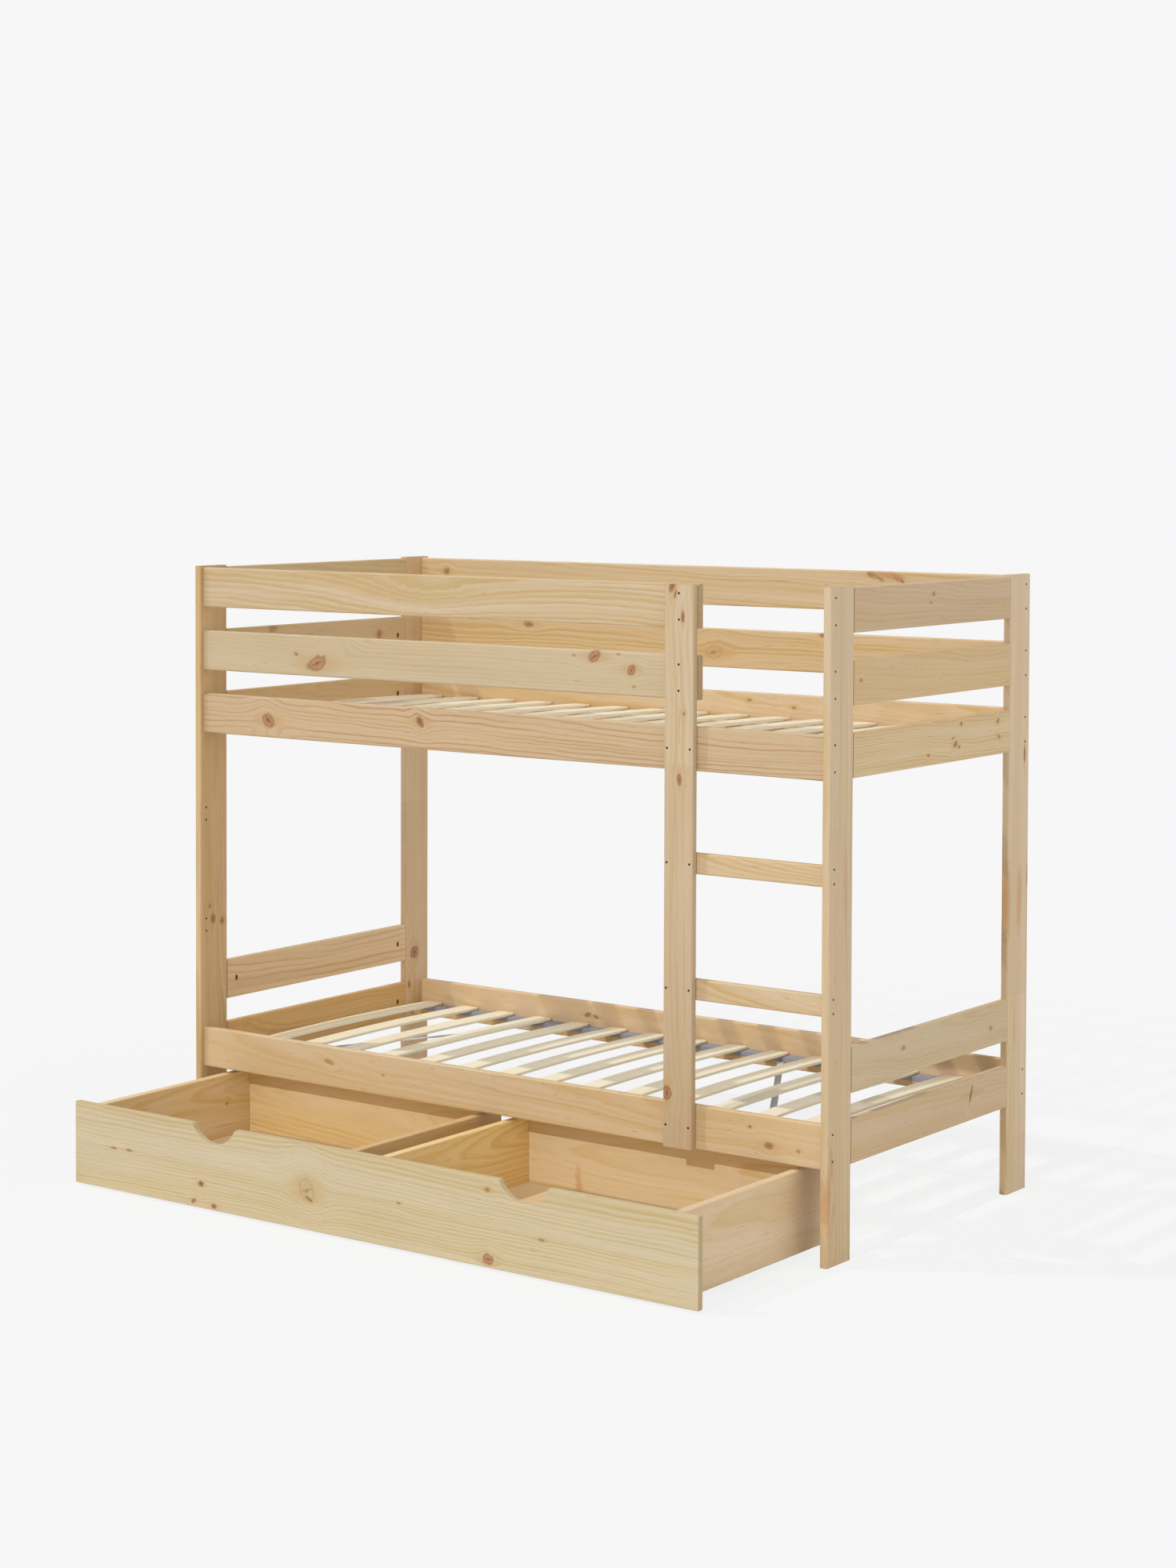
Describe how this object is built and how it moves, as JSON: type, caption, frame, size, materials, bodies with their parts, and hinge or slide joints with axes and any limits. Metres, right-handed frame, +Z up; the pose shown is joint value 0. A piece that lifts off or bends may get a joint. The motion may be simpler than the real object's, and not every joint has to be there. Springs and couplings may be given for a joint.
{
  "type": "bunk bed with roll-out drawer",
  "caption": "Wooden bunk bed with slatted decks, guard rails, a short end ladder and one wide two-box drawer that rolls out from under the lower bunk.",
  "frame": {"origin": "on the floor, under the middle of the whole part with its drawer open as stored", "axes": "+X along the bed towards the ladder end, +Y from the drawer side to the back, +Z up"},
  "size_m": [1.956, 1.46, 1.56],
  "materials": {
    "pine": "oiled, satin",
    "pale_pine": "raw, matt",
    "birch": "raw, matt",
    "batten": "raw, matt",
    "strap": "woven, matt",
    "steel": "zinc plated",
    "wheel_plastic": "matt"
  },
  "bodies": {
    "bed_frame": {"post_front_left": "pine", "post_front_right": "pine", "post_back_left": "pine", "post_back_right": "pine", "side_rail_lower_front": "pine", "side_rail_lower_back": "pine", "side_rail_upper_front": "pine", "side_rail_upper_back": "pine", "guard_rail_middle_front": "pine", "guard_rail_middle_back": "pine", "guard_rail_top_front": "pine", "guard_rail_top_back": "pine", "end_rail_left_bottom": "pine", "end_rail_left_head": "pine", "end_rail_left_upper": "pine", "end_rail_left_middle": "pine", "end_rail_left_top": "pine", "end_rail_right_bottom": "pine", "end_rail_right_head": "pine", "end_rail_right_upper": "pine", "end_rail_right_middle": "pine", "end_rail_right_top": "pine", "ladder_upright": "pine", "ladder_rung_1": "pine", "ladder_rung_2": "pine", "ledger_lower_front": "batten", "ledger_lower_back": "batten", "ledger_upper_front": "batten", "ledger_upper_back": "batten", "slat_roll_lower": "birch", "slat_roll_upper": "birch", "tie_strap_left": "strap", "tie_strap_right": "strap"},
    "drawer": {"drawer_front": "pale_pine", "box_left_left_wall": "pale_pine", "box_left_right_wall": "pale_pine", "box_left_back_wall": "pale_pine", "box_left_floor": "birch", "box_right_left_wall": "pale_pine", "box_right_right_wall": "pale_pine", "box_right_back_wall": "pale_pine", "box_right_floor": "birch", "caster_bracket_1": "steel", "caster_bracket_2": "steel", "caster_bracket_3": "steel", "caster_bracket_4": "steel", "caster_bracket_5": "steel", "caster_bracket_6": "steel", "caster_bracket_7": "steel", "caster_bracket_8": "steel"},
    "wheel_1": {"caster_wheel_1": "wheel_plastic"},
    "wheel_2": {"caster_wheel_2": "wheel_plastic"},
    "wheel_3": {"caster_wheel_3": "wheel_plastic"},
    "wheel_4": {"caster_wheel_4": "wheel_plastic"},
    "wheel_5": {"caster_wheel_5": "wheel_plastic"},
    "wheel_6": {"caster_wheel_6": "wheel_plastic"},
    "wheel_7": {"caster_wheel_7": "wheel_plastic"},
    "wheel_8": {"caster_wheel_8": "wheel_plastic"}
  },
  "joints": [
    {"name": "drawer_slide", "type": "slide", "parent": "bed_frame", "child": "drawer", "axis": [0, -1, 0], "range_m": [-0.484, 0.112]},
    {"name": "wheel_1_spin", "type": "hinge", "parent": "drawer", "child": "wheel_1", "pos_m": [-0.8325, -0.6517, 0.015], "axis": [1, 0, 0], "continuous": true},
    {"name": "wheel_2_spin", "type": "hinge", "parent": "drawer", "child": "wheel_2", "pos_m": [-0.8325, -0.194, 0.015], "axis": [1, 0, 0], "continuous": true},
    {"name": "wheel_3_spin", "type": "hinge", "parent": "drawer", "child": "wheel_3", "pos_m": [-0.0975, -0.6517, 0.015], "axis": [1, 0, 0], "continuous": true},
    {"name": "wheel_4_spin", "type": "hinge", "parent": "drawer", "child": "wheel_4", "pos_m": [-0.0975, -0.194, 0.015], "axis": [1, 0, 0], "continuous": true},
    {"name": "wheel_5_spin", "type": "hinge", "parent": "drawer", "child": "wheel_5", "pos_m": [0.0975, -0.6517, 0.015], "axis": [1, 0, 0], "continuous": true},
    {"name": "wheel_6_spin", "type": "hinge", "parent": "drawer", "child": "wheel_6", "pos_m": [0.0975, -0.194, 0.015], "axis": [1, 0, 0], "continuous": true},
    {"name": "wheel_7_spin", "type": "hinge", "parent": "drawer", "child": "wheel_7", "pos_m": [0.8325, -0.6517, 0.015], "axis": [1, 0, 0], "continuous": true},
    {"name": "wheel_8_spin", "type": "hinge", "parent": "drawer", "child": "wheel_8", "pos_m": [0.8325, -0.194, 0.015], "axis": [1, 0, 0], "continuous": true}
  ],
  "couplings": [
    {"joint": "wheel_1_spin", "follows": "drawer_slide", "rad_per_m": 66.667},
    {"joint": "wheel_2_spin", "follows": "drawer_slide", "rad_per_m": 66.667},
    {"joint": "wheel_3_spin", "follows": "drawer_slide", "rad_per_m": 66.667},
    {"joint": "wheel_4_spin", "follows": "drawer_slide", "rad_per_m": 66.667},
    {"joint": "wheel_5_spin", "follows": "drawer_slide", "rad_per_m": 66.667},
    {"joint": "wheel_6_spin", "follows": "drawer_slide", "rad_per_m": 66.667},
    {"joint": "wheel_7_spin", "follows": "drawer_slide", "rad_per_m": 66.667},
    {"joint": "wheel_8_spin", "follows": "drawer_slide", "rad_per_m": 66.667}
  ]
}
